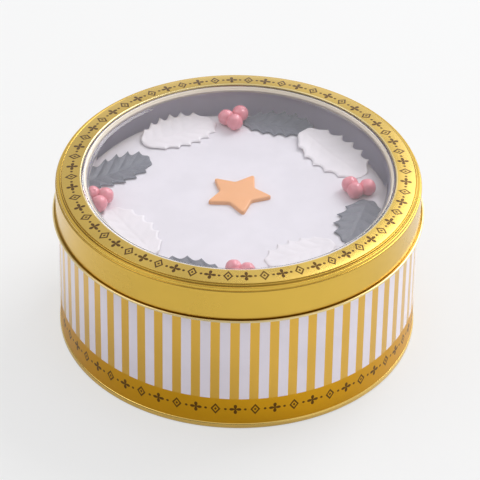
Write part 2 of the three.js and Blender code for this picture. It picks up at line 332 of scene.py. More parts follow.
class Nodes:
    """Adds and links the nodes of one material, world or group."""

    def __init__(self, tree):
        self.tree = tree

    def feed(self, socket, value):
        """Links another node's output to a socket, or sets its value."""
        if isinstance(value, bpy.types.NodeSocket):
            self.tree.links.new(value, socket)
        elif socket.type == "RGBA" and len(value) == 3:
            socket.default_value = (*value, 1.0)
        else:
            socket.default_value = value

    def add(self, kind, inputs=None, **options):
        """A new node with its options and inputs set."""
        node = self.tree.nodes.new(kind)
        for option, value in options.items():
            setattr(node, option, value)
        for name, value in (inputs or {}).items():
            self.feed(node.inputs[name], value)
        return node

    def math(self, operation, *values):
        node = self.add("ShaderNodeMath", operation=operation)
        for socket, value in zip(node.inputs, values):
            self.feed(socket, value)
        return node.outputs[0]

    def ramp(self, value, low, high, to_low=0.0, to_high=1.0, smooth=True):
        """Turns the range from low to high into the range from to_low to to_high."""
        limits = {"From Min": low, "From Max": high, "To Min": to_low, "To Max": to_high}
        node = self.add(
            "ShaderNodeMapRange",
            {"Value": value, **limits},
            interpolation_type="SMOOTHSTEP" if smooth else "LINEAR",
        )
        return node.outputs["Result"]

    def mix(self, factor, first, second):
        """A colour that goes from the first to the second."""
        node = self.add("ShaderNodeMix", data_type="RGBA")
        first_colour, second_colour, result = 6, 7, 2  # the sockets of its colours
        self.feed(node.inputs["Factor"], factor)
        self.feed(node.inputs[first_colour], first)
        self.feed(node.inputs[second_colour], second)
        return node.outputs[result]

    def plain(self, colour_value):
        """One colour as an output."""
        node = self.add("ShaderNodeRGB")
        node.outputs[0].default_value = (*colour_value, 1.0)
        return node.outputs[0]

    def shaded(self, base, shade):
        """A colour made lighter or darker by a factor."""
        node = self.add("ShaderNodeVectorMath", operation="SCALE")
        self.feed(node.inputs[0], base)
        self.feed(node.inputs["Scale"], shade)
        return node.outputs[0]

    def cloud(self, place, scale, detail):
        """A noise of scale steps for each metre."""
        inputs = {"Vector": place, "Scale": scale, "Detail": detail}
        return self.add("ShaderNodeTexNoise", inputs).outputs["Fac"]

    def relief(self, height, depth):
        """A normal that rises and falls with a height."""
        inputs = {"Height": height, "Strength": 1.0, "Distance": depth}
        return self.add("ShaderNodeBump", inputs).outputs["Normal"]

    def object_place(self):
        """The place on the piece, in metres, and its three parts."""
        place = self.add("ShaderNodeTexCoord").outputs["Object"]
        return place, self.add("ShaderNodeSeparateXYZ", {"Vector": place}).outputs


def new_material(name):
    """An empty node material and its node helper."""
    material = bpy.data.materials.new(name)
    material.use_nodes = True
    material.node_tree.nodes.clear()
    return material, Nodes(material.node_tree)


def finish_with(nodes, surface):
    nodes.add("ShaderNodeOutputMaterial", {"Surface": surface})


def new_group(name, inputs, outputs):
    """An empty shader node group with float or vector sockets, its helper and its two ends."""
    tree = bpy.data.node_groups.new(name, "ShaderNodeTree")
    for label, kind in inputs.items():
        tree.interface.new_socket(label, in_out="INPUT", socket_type=kind)
    for label, kind in outputs.items():
        tree.interface.new_socket(label, in_out="OUTPUT", socket_type=kind)
    nodes = Nodes(tree)
    start = nodes.add("NodeGroupInput").outputs
    end = nodes.add("NodeGroupOutput").inputs
    return tree, nodes, start, end


def use_group(nodes, tree, inputs):
    node = nodes.add("ShaderNodeGroup", node_tree=tree)
    for name, value in inputs.items():
        nodes.feed(node.inputs[name], value)
    return node.outputs


def once(make):
    """Makes a material or group the first time that it is asked for."""
    made = {}

    def get():
        if make not in made:
            made[make] = make()
        return made[make]

    get.__doc__ = make.__doc__
    return get


# ---- Shared surface effects -------------------------------------------------------------------


@once
def lacquer_grain():
    """Fine unevenness of lacquered tinplate: a shade, a roughness change and a height."""
    tree, nodes, start, end = new_group(
        "lacquer_grain",
        {"Place": "NodeSocketVector"},
        {"Shade": "NodeSocketFloat", "Rough": "NodeSocketFloat", "Height": "NodeSocketFloat"},
    )
    clouds = nodes.cloud(start["Place"], 30.0, 3.0)
    peel = nodes.cloud(start["Place"], 900.0, 2.0)
    specks = nodes.cloud(start["Place"], 2600.0, 1.0)
    speck_roughness = 0.006  # more makes the lacquer sparkle
    rough = nodes.math("MULTIPLY", nodes.math("SUBTRACT", specks, 0.5), speck_roughness)
    nodes.feed(end["Shade"], nodes.ramp(clouds, 0.3, 0.7, 0.96, 1.03))
    nodes.feed(end["Rough"], nodes.math("ADD", rough, nodes.ramp(clouds, 0.3, 0.7, -0.03, 0.03)))
    nodes.feed(end["Height"], peel)
    return tree


@once
def paste_grain():
    """Soft unevenness of sugar paste: a shade and a height."""
    tree, nodes, start, end = new_group(
        "paste_grain",
        {"Place": "NodeSocketVector"},
        {"Shade": "NodeSocketFloat", "Height": "NodeSocketFloat"},
    )
    clouds = nodes.cloud(start["Place"], 60.0, 3.0)
    sugar = nodes.cloud(start["Place"], 2200.0, 3.0)
    dents = nodes.cloud(start["Place"], 260.0, 2.0)
    dent_share = 3.0  # depth of the dents beside the sugar's
    nodes.feed(end["Shade"], nodes.ramp(clouds, 0.3, 0.7, 0.97, 1.02))
    nodes.feed(end["Height"], nodes.math("MULTIPLY_ADD", dents, dent_share, sugar))
    return tree


def length_of(nodes, x, y):
    """The length of a flat vector."""
    squares = nodes.math("ADD", nodes.math("POWER", x, 2.0), nodes.math("POWER", y, 2.0))
    return nodes.math("SQRT", squares)


@once
def printed_border():
    """Ink mask of a border of lozenges, four-petalled flowers and dots.

    Turn is the share of a full turn, Across the distance from the border's middle line, Motifs
    how many stand round it, and Pitch the distance between two. All lengths are in millimetres.
    """
    tree, nodes, start, end = new_group(
        "printed_border",
        {
            "Turn": "NodeSocketFloat",
            "Across": "NodeSocketFloat",
            "Motifs": "NodeSocketFloat",
            "Pitch": "NodeSocketFloat",
        },
        {"Ink": "NodeSocketFloat"},
    )
    soft = 0.12  # how far an ink edge fades
    half_length, half_width = 2.5, 3.4  # of a lozenge, along and across the border
    opening, core_size = 0.6, 0.28  # shares of the lozenge that are bare, and inked again
    petal_length, petal_taper = 3.0, 0.9
    dot_radius = 0.7

    def inside(distance):
        return nodes.ramp(distance, -soft, soft, 1.0, 0.0)

    def lozenge_up_to(part):
        return inside(nodes.math("MULTIPLY", nodes.math("SUBTRACT", lozenge, part), 2.0))

    steps = nodes.math("MULTIPLY", start["Turn"], start["Motifs"])
    cell = nodes.math("SUBTRACT", nodes.math("FRACT", steps), 0.5)
    along = nodes.math("ABSOLUTE", nodes.math("MULTIPLY", cell, start["Pitch"]))
    across = nodes.math("ABSOLUTE", start["Across"])
    odd = nodes.math("MODULO", nodes.math("FLOOR", steps), 2.0)

    # A lozenge with an open middle
    lozenge = nodes.math(
        "ADD", nodes.math("DIVIDE", along, half_length), nodes.math("DIVIDE", across, half_width)
    )
    frame_ink = nodes.math("SUBTRACT", lozenge_up_to(1.0), lozenge_up_to(opening))
    open_lozenge = nodes.math("MAXIMUM", frame_ink, lozenge_up_to(core_size))

    # A flower whose petals follow |cos 2a|
    angle = nodes.math("ARCTAN2", across, along)
    petal = nodes.math("ABSOLUTE", nodes.math("COSINE", nodes.math("MULTIPLY", angle, 2.0)))
    reach = nodes.math("MULTIPLY", nodes.math("POWER", petal, petal_taper), petal_length)
    flower = inside(nodes.math("SUBTRACT", length_of(nodes, along, across), reach))

    # A dot halfway between two motifs
    half_pitch = nodes.math("MULTIPLY", start["Pitch"], 0.5)
    from_dot = length_of(nodes, nodes.math("SUBTRACT", half_pitch, along), across)
    dot = inside(nodes.math("SUBTRACT", from_dot, dot_radius))

    picked = nodes.math("MULTIPLY", flower, odd)
    even = nodes.math("SUBTRACT", 1.0, odd)
    motif = nodes.math("MULTIPLY_ADD", open_lozenge, even, picked)
    nodes.feed(end["Ink"], nodes.math("MAXIMUM", motif, dot))
    return tree


def turn_share(nodes, parts):
    """The share of a full turn round Z, from 0 to 1."""
    angle = nodes.math("ARCTAN2", parts["Y"], parts["X"])
    return nodes.math("FRACT", nodes.math("MULTIPLY_ADD", angle, 1 / (2 * math.pi), 1.0))


# ---- Finishes ---------------------------------------------------------------------------------


def metal_surface(nodes, place, base, roughness, metallic, bump, coat=0.8):
    """A lacquered Principled metal with its grain. The base and metallic may be sockets."""
    grain = use_group(nodes, lacquer_grain(), {"Place": place})
    return nodes.add(
        "ShaderNodeBsdfPrincipled",
        {
            "Base Color": nodes.shaded(base, grain["Shade"]),
            "Metallic": metallic,
            "Roughness": nodes.math("ADD", grain["Rough"], roughness),
            "Coat Weight": coat,
            "Coat Roughness": 0.2,
            "Normal": nodes.relief(grain["Height"], bump),
        },
    ).outputs[0]


@once
def lid_lacquer():
    """Satin gold lacquer with the printed border on the flat ring."""
    colours, lid = settings().colours, settings().lid
    material, nodes = new_material("lid_gold_lacquer")
    place, parts = nodes.object_place()
    radius = length_of(nodes, parts["X"], parts["Y"])
    across = nodes.math("DIVIDE", nodes.math("SUBTRACT", radius, lid.border_radius), MM)
    ink = use_group(
        nodes,
        printed_border(),
        {
            "Turn": turn_share(nodes, parts),
            "Across": across,
            "Motifs": float(lid.border_motifs),
            "Pitch": 2 * math.pi * lid.border_radius / MM / lid.border_motifs,
        },
    )["Ink"]
    edge = lid.top - lid.ring_fall
    on_ring = nodes.ramp(radius, lid.ring_edge - 0.1 * MM, lid.ring_edge, 1.0, 0.0)
    on_top = nodes.math("GREATER_THAN", parts["Z"], edge - 0.2 * MM)
    on_ring = nodes.math("MULTIPLY", on_ring, on_top)
    ink = nodes.math("MULTIPLY", ink, on_ring)

    # Painted shade: the gold is darkened in the creases of the shoulder, at its lower corner and
    # behind the bead, where shade falls
    def crease_shade(value, middle, half_width):
        distance = nodes.math("ABSOLUTE", nodes.math("SUBTRACT", value, middle))
        return nodes.ramp(distance, 0.0, half_width, 1.0, 0.0)

    first = crease_shade(radius, lid.ring_edge + FIRST_CREASE, 0.25 * MM)
    second = crease_shade(radius, lid.ring_edge + SECOND_CREASE, 0.3 * MM)
    above_steps = nodes.math("GREATER_THAN", parts["Z"], edge - 2.0 * MM)
    lines = nodes.math("MULTIPLY", nodes.math("MAXIMUM", first, second), above_steps)
    corner = crease_shade(parts["Z"], edge - 3.0 * MM, 0.4 * MM)
    line_depth = 0.72
    lines = nodes.math("MULTIPLY", nodes.math("MAXIMUM", lines, corner), line_depth)
    foot = crease_shade(parts["Z"], lid.bead_height + 0.35 * MM, 1.3 * MM)
    behind_bead = nodes.math("LESS_THAN", radius, lid.skirt + 0.3 * MM)
    foot = nodes.math("MULTIPLY", foot, behind_bead)
    shade_at_most = 0.85
    dark = nodes.math("MULTIPLY", nodes.math("MAXIMUM", lines, foot), shade_at_most)

    # The rolled edge of the hole and the bead get a paler gold as a painted highlight, and the side
    # of the hole gets painted shade for the dark gap under the rolled edge
    from_hole = nodes.math("SUBTRACT", radius, lid.hole)
    hem_top = nodes.ramp(from_hole, 0.7 * MM, 1.0 * MM, 1.0, 0.0)
    hem_side_shade = nodes.ramp(from_hole, 0.1 * MM, 0.4 * MM, 0.4, 0.0)

    # Painted sheen: a paler gold on the flat ring than on the rest of the lid
    base = nodes.mix(on_ring, tuple(colours.gold), tuple(colours.ring_sheen_gold))
    bead = nodes.ramp(radius, lid.skirt + 0.5 * MM, lid.skirt + 0.8 * MM)
    base = nodes.mix(nodes.math("MAXIMUM", hem_top, bead), base, tuple(colours.hem_highlight_gold))
    base = nodes.mix(nodes.math("MAXIMUM", dark, hem_side_shade), base, tuple(colours.crease_shade))
    base = nodes.mix(ink, base, tuple(colours.ink))
    skirt_roughness, top_roughness = 0.30, 0.26
    roughness = nodes.ramp(
        parts["Z"], edge - 4.5 * MM, edge - 3.0 * MM, skirt_roughness, top_roughness
    )
    finish_with(nodes, metal_surface(nodes, place, base, roughness, 1.0, 0.0004 * MM, coat=0.6))
    return material


@once
def base_lacquer():
    """Satin gold lacquer of the standing rim and the underside."""
    material, nodes = new_material("base_gold_lacquer")
    place, _ = nodes.object_place()
    base = nodes.plain(settings().colours.rim_highlight_gold)
    finish_with(nodes, metal_surface(nodes, place, base, 0.22, 1.0, 0.0005 * MM))
    return material


@once
def printed_wall():
    """White and gold stripes over a gold band with a printed border."""
    colours, tin = settings().colours, settings().tin
    material, nodes = new_material("printed_wall")
    place, parts = nodes.object_place()
    round_share = turn_share(nodes, parts)

    first_white = tin.stripe_turn / (2 * math.pi) * tin.stripe_pairs
    pairs = nodes.math("MULTIPLY_ADD", round_share, float(tin.stripe_pairs), 0.5 - first_white)
    from_middle = nodes.math("ABSOLUTE", nodes.math("SUBTRACT", nodes.math("FRACT", pairs), 0.5))
    edge = tin.stripe_width / 2
    soft = 0.008  # how far a stripe's edge fades, as a share of a pair
    stripe = nodes.ramp(from_middle, edge - soft, edge + soft, 1.0, 0.0)
    above_band = nodes.ramp(parts["Z"], tin.band_top - 0.05 * MM, tin.band_top + 0.05 * MM)
    white = nodes.math("MULTIPLY", stripe, above_band)

    across = nodes.math("DIVIDE", nodes.math("SUBTRACT", parts["Z"], tin.border_height), MM)
    ink = use_group(
        nodes,
        printed_border(),
        {
            "Turn": round_share,
            "Across": across,
            "Motifs": float(tin.border_motifs),
            "Pitch": 2 * math.pi * tin.wall_radius / MM / tin.border_motifs,
        },
    )["Ink"]

    # The band's darker gold is partly print and partly painted shade near the foot
    base = nodes.mix(above_band, tuple(colours.band_gold_and_shade), tuple(colours.print_gold))
    base = nodes.mix(white, base, tuple(colours.print_white))
    base = nodes.mix(ink, base, tuple(colours.ink))
    band_metallic = 0.8
    metallic = nodes.math("MULTIPLY_ADD", above_band, 1 - band_metallic, band_metallic)
    metallic = nodes.math("MULTIPLY", metallic, nodes.math("SUBTRACT", 1.0, white))
    surface = metal_surface(nodes, place, base, 0.34, metallic, 0.0005 * MM, coat=above_band)
    finish_with(nodes, surface)
    return material


@once
def inside_lacquer():
    """Dull grey lacquer on the inside of the tin."""
    material, nodes = new_material("tin_inside")
    place, _ = nodes.object_place()
    base = nodes.plain(settings().colours.tin_inside)
    finish_with(nodes, metal_surface(nodes, place, base, 0.42, 0.25, 0.002 * MM, coat=0.0))
    return material


def lit_through(nodes, plastic, tint):
    """Lets the lamps and the light of the room through a plastic, to what it covers."""
    clear = nodes.add("ShaderNodeBsdfTransparent", {"Color": tint})
    path = nodes.add("ShaderNodeLightPath")
    for output in ("Is Diffuse Ray", "Is Shadow Ray"):
        both = nodes.add("ShaderNodeMixShader")
        nodes.feed(both.inputs[0], path.outputs[output])
        nodes.feed(both.inputs[1], plastic)
        nodes.feed(both.inputs[2], clear.outputs[0])
        plastic = both.outputs[0]
    return plastic


PLASTIC_IOR = 1.49


def clear_plastic(name):
    """Clear smooth plastic."""
    material, nodes = new_material(name)
    tint = tuple(settings().colours.window)
    glass = nodes.add(
        "ShaderNodeBsdfPrincipled",
        {"Base Color": tint, "Roughness": 0.0, "IOR": PLASTIC_IOR, "Transmission Weight": 1.0},
    )
    finish_with(nodes, lit_through(nodes, glass.outputs[0], tint))
    return material


@once
def clear_pane():
    """The window's flat pane."""
    return clear_plastic("window_pane")


@once
def clear_edge():
    """The clear bends round the pane."""
    return clear_plastic("window_bends")


def painted_sheen_plastic(name, clearness):
    """Plastic that is milky where it was stretched, and clear when seen from its back."""
    material, nodes = new_material(name)
    tint = tuple(settings().colours.window_painted_sheen)
    from_behind = nodes.add("ShaderNodeNewGeometry").outputs["Backfacing"]
    glow = 0.1  # painted glow, standing for the bright reflections along the crest
    plastic = nodes.add(
        "ShaderNodeBsdfPrincipled",
        {
            "Base Color": tint,
            "Roughness": 0.28,
            "IOR": PLASTIC_IOR,
            "Transmission Weight": clearness,
            "Emission Color": tint,
            "Emission Strength": glow * (1 - clearness),
            "Alpha": nodes.math("SUBTRACT", 1.0, from_behind),
        },
    )
    finish_with(nodes, lit_through(nodes, plastic.outputs[0], tint))
    return material


@once
def painted_sheen_crest():
    """Crest of the plastic."""
    return painted_sheen_plastic("window_crest", 0.2)


@once
def painted_sheen_slope():
    """Slope between the clear bends and the crest."""
    return painted_sheen_plastic("window_slope", 0.85)


def paste_material(name, base, roughness, bump, coat=0.0):
    """A sugar paste with its grain."""
    material, nodes = new_material(name)
    place, _ = nodes.object_place()
    grain = use_group(nodes, paste_grain(), {"Place": place})
    surface = nodes.add(
        "ShaderNodeBsdfPrincipled",
        {
            "Base Color": nodes.shaded(nodes.plain(base), grain["Shade"]),
            "Roughness": roughness,
            "Coat Weight": coat,
            "Normal": nodes.relief(grain["Height"], bump),
        },
    )
    finish_with(nodes, surface.outputs[0])
    return material


# ---- Pieces -----------------------------------------------------------------------------------


class BuildBase(bpy.types.Operator):
    """Floor panel of the tin and the rolled rim that it stands on"""

    bl_idname = "cake_tin.build_base"
    bl_label = "Tin base"
    bl_options = {"REGISTER", "UNDO"}

    def execute(self, context):
        tin = settings().tin
        outer = tin.rim_reach
        inner = outer - 3.5 * MM
        underside = tin.floor_height - tin.sheet
        # A shallow ring pressed into the floor
        ring_inside, ring_middle, ring_outside = inner - 24 * MM, inner - 22.5 * MM, inner - 21 * MM
        pressed = 0.5 * MM
        soft = 0.6 * MM
        corners = (
            (0.0, underside, 0),
            (ring_inside, underside, soft),
            (ring_middle, underside - pressed, soft),
            (ring_outside, underside, soft),
            (inner - 1.2 * MM, underside, soft),
            (inner + 0.4 * MM, 0.0, 0.7 * MM),
            (outer, 0.0, 1.2 * MM),
            (outer, tin.rim_height, 1.0 * MM),
            (inner + 0.8 * MM, tin.rim_height, 0.4 * MM),
            (inner + 0.2 * MM, tin.floor_height, 0.4 * MM),
            (ring_outside, tin.floor_height, soft),
            (ring_middle, tin.floor_height - pressed, soft),
            (ring_inside, tin.floor_height, soft),
            (0.0, tin.floor_height, 0),
        )
        shape = spun(section(corners, closed=False))
        as_piece("base_with_rolled_rim", shape, base_lacquer(), ["tin_base"])
        return {"FINISHED"}


class BuildWall(bpy.types.Operator):
    """Printed wall of the tin, up to its mouth under the lid"""

    bl_idname = "cake_tin.build_wall"
    bl_label = "Printed wall"
    bl_options = {"REGISTER", "UNDO"}

    def execute(self, context):
        tin = settings().tin
        outer = tin.wall_radius
        inner = outer - tin.sheet
        foot = tin.rim_height - 0.4 * MM
        corners = (
            (inner, foot, 0),
            (outer, foot, 0),
            (outer, tin.wall_top, 0.15 * MM),
            (inner, tin.wall_top, 0.15 * MM),
        )
        shape = spun(section(corners, closed=True))
        printed_slot, inside_slot = range(2)
        for face in shape.faces:
            outward = face.calc_center_median().xy.dot(face.normal.xy)
            face.material_index = inside_slot if outward < 0 else printed_slot
        finishes = [printed_wall(), inside_lacquer()]
        as_piece("striped_wall", shape, finishes, ["tin_wall"])
        return {"FINISHED"}


class BuildLid(bpy.types.Operator):
    """Lid with its ring, stepped shoulder, skirt and the bead at its foot"""

    bl_idname = "cake_tin.build_lid"
    bl_label = "Lid"
    bl_options = {"REGISTER", "UNDO"}

    def execute(self, context):
        lid = settings().lid
        sheet = settings().tin.sheet
        ring, skirt, hem = lid.ring_edge, lid.skirt, lid.hem
        edge = lid.top - lid.ring_fall
        skirt_top = edge - 4.2 * MM
        bead_in = skirt + lid.bead_out - lid.bead
        bead_out = skirt + lid.bead_out + lid.bead
        bead_foot = lid.bead_height - lid.bead
        bead_top = lid.bead_height + lid.bead
        groove = lid.bead_height - 0.15 * MM
        corners = (
            # Outside, from the rolled edge of the hole to the skirt
            (lid.hole, lid.top - 2 * hem, hem),
            (lid.hole, lid.top, hem),
            (ring, edge, 0.15 * MM),
            (ring + FIRST_CREASE, edge - 0.65 * MM, 0.1 * MM),
            (ring + 0.45 * MM, edge - 0.4 * MM, 0.15 * MM),
            (ring + 0.8 * MM, edge - 0.45 * MM, 0.15 * MM),
            (ring + SECOND_CREASE, edge - 1.3 * MM, 0.15 * MM),
            (ring + 2.5 * MM, edge - 1.25 * MM, 0.4 * MM),
            (skirt - 0.75 * MM, edge - 2.75 * MM, 0.15 * MM),
            (skirt - 0.1 * MM, edge - 2.85 * MM, 0.3 * MM),
            (skirt, skirt_top, 0.8 * MM),
            # The bead and the groove behind it
            (skirt, groove, 0.1 * MM),
            (bead_in, groove, 0.1 * MM),
            (bead_in, bead_top, 0.55 * MM),
            (bead_out, bead_top, 0.6 * MM),
            (bead_out, bead_foot, 0.6 * MM),
            (skirt - sheet, bead_foot, 0.15 * MM),
            # Inside, back to the hole
            (skirt - sheet, skirt_top, 0.6 * MM),
            (ring + 2.2 * MM, edge - 1.9 * MM, 0.4 * MM),
            (ring + 0.3 * MM, edge - 1.9 * MM, 0.3 * MM),
            (ring - 0.5 * MM, edge - 1.5 * sheet, 0.3 * MM),
            (lid.hole + 2.4 * hem, lid.top - 1.6 * sheet, 0.3 * MM),
            (lid.hole + 2 * hem, lid.top - 2 * hem, 0.3 * MM),
        )
        shape = spun(section(corners, closed=True))
        as_piece("lid_of_tin", shape, lid_lacquer(), ["lid_ring"])
        return {"FINISHED"}


class BuildWindow(bpy.types.Operator):
    """Clear window under the hole in the lid, pressed down like a shallow pan"""

    bl_idname = "cake_tin.build_window"
    bl_label = "Window"
    bl_options = {"REGISTER", "UNDO"}

    def execute(self, context):
        lid = settings().lid
        sheet = lid.window_sheet
        flange = lid.top - 2 * lid.hem - 0.3 * MM
        pane, ridge = lid.pane_radius, lid.ridge_radius
        corners = (
            (0.0, lid.pane_top - sheet, 0),
            (pane + 1.4 * MM, lid.pane_top - sheet, 1.4 * MM),
            (pane + 3.1 * MM, lid.pane_top + 0.6 * MM, 0.5 * MM),
            (ridge - 0.6 * MM, flange - sheet, 0.2 * MM),
            (lid.flange_reach, flange - sheet, 0),
            (lid.flange_reach, flange, 0),
            (ridge + 0.2 * MM, flange, 0.1 * MM),
            (ridge + 0.15 * MM, lid.ridge_top, 0.3 * MM),
            (ridge - 0.35 * MM, lid.ridge_top, 0.3 * MM),
            (pane + 2.6 * MM, lid.pane_top + 0.8 * MM, 0.9 * MM),
            (pane + 1.2 * MM, lid.pane_top, 1.2 * MM),
            (0.0, lid.pane_top, 0),
        )
        shape = spun(section(corners, closed=False))
        pane_slot, bend_slot, slope_slot, crest_slot = range(4)
        crest_depth, slope_depth = 1.1 * MM, 2.4 * MM  # where the crest and the slope end
        least_inward = 0.3  # faces with the painted sheen look at least this much towards the middle
        for face in shape.faces:
            middle = face.calc_center_median()
            inward = -face.normal.xy.dot(middle.xy.normalized())
            below_crest = lid.ridge_top - middle.z
            if abs(face.normal.z) > 0.9999:
                face.material_index = pane_slot
            elif inward < least_inward or below_crest > slope_depth:
                face.material_index = bend_slot
            else:
                face.material_index = slope_slot if below_crest > crest_depth else crest_slot
        plastics = [clear_pane(), clear_edge(), painted_sheen_slope(), painted_sheen_crest()]
        as_piece("clear_window", shape, plastics, ["lid_window"])
        return {"FINISHED"}


class BuildCake(bpy.types.Operator):
    """Cake under smooth rolled icing, slightly uneven"""

    bl_idname = "cake_tin.build_cake"
    bl_label = "Iced cake"
    bl_options = {"REGISTER", "UNDO"}

    def execute(self, context):
        cake = settings().cake
        corners = (
            (0.0, cake.foot, 0),
            (cake.radius, cake.foot, 1.5 * MM),
            (cake.radius, cake.top, cake.edge),
            (0.0, cake.top, 0),
        )
        outline = section(corners, closed=False)
        flats = [e for e in outline.edges if e.calc_length() > 20 * MM]
        bmesh.ops.subdivide_edges(outline, edges=flats, cuts=30)
        shape = spun(outline)
        middle = Vector((cake.across, cake.away, 0.0))
        side_scale, top_scale = 28.0, 28.0 * 1.4  # noise steps for each metre
        shift = Vector((3.1, 0.0, 0.0))  # keeps the waves on top unlike those at the side
        for vert in shape.verts:
            outward = Vector((vert.co.x, vert.co.y, 0.0)) / cake.radius
            side = noise.noise(vert.co * side_scale) * cake.side_waves
            rise = noise.noise(vert.co * top_scale + shift) * cake.top_waves
            high = max(0.0, vert.co.z / cake.top - 0.5) * 2
            vert.co += outward * outward.length * side + Vector((0.0, 0.0, rise * high))
            vert.co += middle
        material = paste_material("rolled_icing", settings().colours.icing, 0.55, 0.004 * MM)
        as_piece("cake_in_icing", shape, material, ["cake"])
        return {"FINISHED"}


class BuildStar(bpy.types.Operator):
    """Five-pointed star of paste, with soft edges"""

    bl_idname = "cake_tin.build_star"
    bl_label = "Star"
    bl_options = {"REGISTER", "UNDO"}

    def execute(self, context):
        sizes = settings().toppings
        points = 5
        shape = bmesh.new()
        bmesh.ops.create_circle(shape, cap_ends=True, segments=2 * points, radius=1.0)
        shape.verts.ensure_lookup_table()
        for number, vert in enumerate(shape.verts):
            angle = math.pi * number / points
            reach = sizes.star_waist if number % 2 else sizes.star_reach
            vert.co = Vector((math.cos(angle), math.sin(angle), 0.0)) * reach
        lifted = bmesh.ops.extrude_face_region(shape, geom=shape.faces[:])["geom"]
        for vert in [e for e in lifted if isinstance(e, bmesh.types.BMVert)]:
            vert.co.z = sizes.star_thick
        upright = [e for e in shape.edges if abs(e.verts[0].co.z - e.verts[1].co.z) > MM]
        between = (sizes.star_waist + sizes.star_reach) / 2
        tips = [e for e in upright if e.verts[0].co.xy.length > between]
        notches = [e for e in upright if e not in tips]
        round_off(shape, tips, 2.4 * MM, 5)
        round_off(shape, notches, 1.1 * MM, 5)
        bmesh.ops.recalc_face_normals(shape, faces=shape.faces)
        half = sizes.star_thick / 2
        upper = [e for e in shape.edges if min(v.co.z for v in e.verts) > half]
        round_off(shape, upper, 1.0 * MM, 6)
        bmesh.ops.recalc_face_normals(shape, faces=shape.faces)
        turned = Matrix.Rotation(sizes.star_turn, 4, "Z")
        shape.transform(Matrix.Translation(on_icing(*STAR_PLACE)) @ turned)
        material = paste_material("star_paste", settings().colours.star, 0.4, 0.003 * MM, 0.2)
        as_piece("paste_star", shape, material, ["star"])
        return {"FINISHED"}


def leaf_point(along, across, leaf, style, thick):
    """A point of a leaf's under side, and the height of its upper side over it, in millimetres."""
    hollows = leaf["hollows"]
    stalk = 0.5  # half the width of the leaf at its ends
    fullness = 0.45  # the smaller, the sooner the leaf is at its full width
    hollow = abs(math.sin(math.pi * hollows * along))
    body = max(0.0, math.sin(math.pi * along)) ** fullness
    half = stalk + (leaf["width"] / 2 - stalk) * body * (1 - style["bite"] * hollow)
    edge = abs(across)
    side = leaf["out"] if across > 0 else leaf["in"]
    forward = leaf["lean"] * edge * (1 - hollow) + leaf["slant"] * across
    x = leaf["length"] * (along - 0.5) + forward * body
    lift = side * edge**2 * (1 - style["curl"] * hollow)
    rise = (style["rib"] * edge + lift) * body + leaf["end"] * max(0.0, 1 - 2 * along) ** 1.5

    vein_slant = 0.16
    rib_width = 1.1
    rib_depth = 0.6  # as a share of the veins'
    thin_edge = 0.3  # thickness of the very edge, as a share of the leaf's
    vein = abs(math.sin(math.pi * hollows * (along + vein_slant * (1 - edge))))
    pillow = (vein**0.8 - 1) * body * min(1.0, 3 * edge)
    rib = -math.exp(-((edge * half / rib_width) ** 2)) * body
    rim = (1 - edge) * half / style["rim"]
    rim = min(1.0, rim, min(along, 1 - along) * leaf["length"] / style["rim"])
    rounded = math.sqrt(max(0.0, rim * (2 - rim)))
    upper = thick * (thin_edge + (1 - thin_edge) * rounded)
    relief = style["press"] * (pillow * rim + rib_depth * rib)
    return Vector((x, across * half, rise)), upper + relief


def leaf_shape(leaf, style, sizes):
    """A bmesh of one leaf, with a UV map that runs along and across it."""
    across_steps = 36
    along_steps = leaf["hollows"] * 14
    middle_pull = 1.35  # draws the rows of the grid towards the middle rib
    shape = bmesh.new()
    shape.loops.layers.uv.new("leaf")
    bmesh.ops.create_grid(
        shape, x_segments=along_steps, y_segments=across_steps, size=1.0, calc_uvs=True
    )
    lifted = bmesh.ops.extrude_face_region(shape, geom=shape.faces[:])["geom"]
    upper = {e for e in lifted if isinstance(e, bmesh.types.BMVert)}
    for vert in shape.verts:
        across = math.copysign(abs(vert.co.y) ** middle_pull, vert.co.y)
        along = (vert.co.x + 1) / 2
        under, height = leaf_point(along, across, leaf, style, sizes.leaf_thick / MM)
        vert.co = under + Vector((0.0, 0.0, height if vert in upper else 0.0))
    bmesh.ops.recalc_face_normals(shape, faces=shape.faces)
    turned = Matrix.Rotation(math.radians(leaf["turn"]), 4, "Z")
    shape.transform(Matrix.Translation(on_icing(*leaf["at"])) @ turned @ Matrix.Scale(MM, 4))
    return shape


@once
def green_leaf_paste():
    """Dull grey green paste."""
    return paste_material("green_leaf_paste", settings().colours.green, 0.52, 0.006 * MM)


@once
def white_leaf_paste():
    """White paste like the icing."""
    return paste_material("white_leaf_paste", settings().colours.white, 0.5, 0.004 * MM)


class BuildLeaves(bpy.types.Operator):
    """Holly leaves of green and white paste"""

    bl_idname = "cake_tin.build_leaves"
    bl_label = "Holly leaves"
    bl_options = {"REGISTER", "UNDO"}

    def execute(self, context):
        sizes = settings().toppings
        pastes = {"green": green_leaf_paste, "white": white_leaf_paste}
        for leaf in LEAVES:
            node = leaf["name"]
            kind = node.split("_")[0]
            shape = leaf_shape(leaf, LEAF_STYLES[kind], sizes)
            as_piece(f"paste_{node}", shape, pastes[kind](), [node])
        return {"FINISHED"}


@once
def berry_glaze():
    """Glazed red paste."""
    return paste_material("berry_glaze", settings().colours.berry, 0.3, 0.004 * MM, 0.4)


